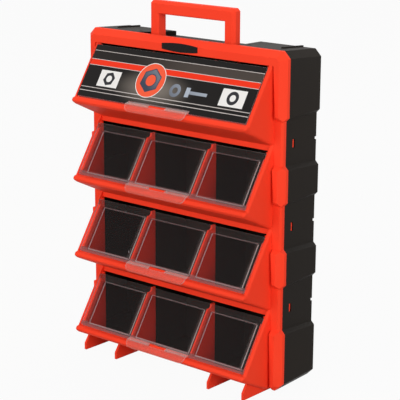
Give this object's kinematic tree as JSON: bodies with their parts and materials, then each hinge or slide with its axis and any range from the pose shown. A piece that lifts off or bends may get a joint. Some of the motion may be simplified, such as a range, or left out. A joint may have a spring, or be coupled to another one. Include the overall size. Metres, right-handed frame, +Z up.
{
  "type": "parts organizer",
  "caption": "Upright organizer case with rows of compartments behind clear tilt-up flap doors, a sliding carry handle and wall keyholes.",
  "frame": {"origin": "on the table, midway across the width and the whole depth", "axes": "+X to the right seen from the front, +Y to the back, +Z up"},
  "size_m": [0.28, 0.1076, 0.4057],
  "materials": {
    "frame_red": "moulded, satin",
    "shell_black": "moulded, fine texture",
    "handle_red": "moulded, satin",
    "door_clear": "clear polystyrene",
    "badge_black": "satin",
    "label_print": "printed sheet"
  },
  "bodies": {
    "case": {"front_frame": "frame_red", "rear_shell": "shell_black", "badge_plate": "badge_black", "frame_divider_left_1": "frame_red", "frame_divider_right_1": "frame_red", "frame_divider_left_2": "frame_red", "frame_divider_right_2": "frame_red", "frame_divider_left_3": "frame_red", "frame_divider_right_3": "frame_red", "frame_divider_left_4": "frame_red", "frame_divider_right_4": "frame_red", "door_seat_left_1": "frame_red", "door_seat_right_1": "frame_red", "door_seat_left_2": "frame_red", "door_seat_right_2": "frame_red", "door_seat_left_3": "frame_red", "door_seat_right_3": "frame_red", "door_seat_left_4": "frame_red", "door_seat_right_4": "frame_red", "snap_arm_left_top": "frame_red", "snap_arm_right_top": "frame_red", "snap_arm_left_1": "frame_red", "snap_arm_right_1": "frame_red", "snap_arm_left_2": "frame_red", "snap_arm_right_2": "frame_red", "snap_arm_left_3": "frame_red", "snap_arm_right_3": "frame_red", "shelf_1": "shell_black", "shelf_2": "shell_black", "shelf_3": "shell_black", "shell_divider_left_1": "shell_black", "shell_divider_right_1": "shell_black", "shell_divider_left_2": "shell_black", "shell_divider_right_2": "shell_black", "shell_divider_left_3": "shell_black", "shell_divider_right_3": "shell_black", "shell_divider_left_4": "shell_black", "shell_divider_right_4": "shell_black", "handle_sleeve_left": "shell_black", "handle_sleeve_right": "shell_black"},
    "handle": {"carry_handle": "handle_red"},
    "door_1": {"flap_door_1": "door_clear", "door_label": "label_print"},
    "door_2": {"flap_door_2": "door_clear"},
    "door_3": {"flap_door_3": "door_clear"},
    "door_4": {"flap_door_4": "door_clear"}
  },
  "joints": [
    {"name": "handle_slide", "type": "slide", "parent": "case", "child": "handle", "axis": [0, 0, 1], "range_m": [-0.028, 0]},
    {"name": "door_1_hinge", "type": "hinge", "parent": "case", "child": "door_1", "pos_m": [0, -0.01043, 0.3503], "axis": [-1, 0, 0], "range_deg": [0, 125]},
    {"name": "door_2_hinge", "type": "hinge", "parent": "case", "child": "door_2", "pos_m": [0, -0.01043, 0.2608], "axis": [-1, 0, 0], "range_deg": [0, 90]},
    {"name": "door_3_hinge", "type": "hinge", "parent": "case", "child": "door_3", "pos_m": [0, -0.01043, 0.1713], "axis": [-1, 0, 0], "range_deg": [0, 90]},
    {"name": "door_4_hinge", "type": "hinge", "parent": "case", "child": "door_4", "pos_m": [0, -0.01043, 0.0818], "axis": [-1, 0, 0], "range_deg": [0, 90]}
  ]
}
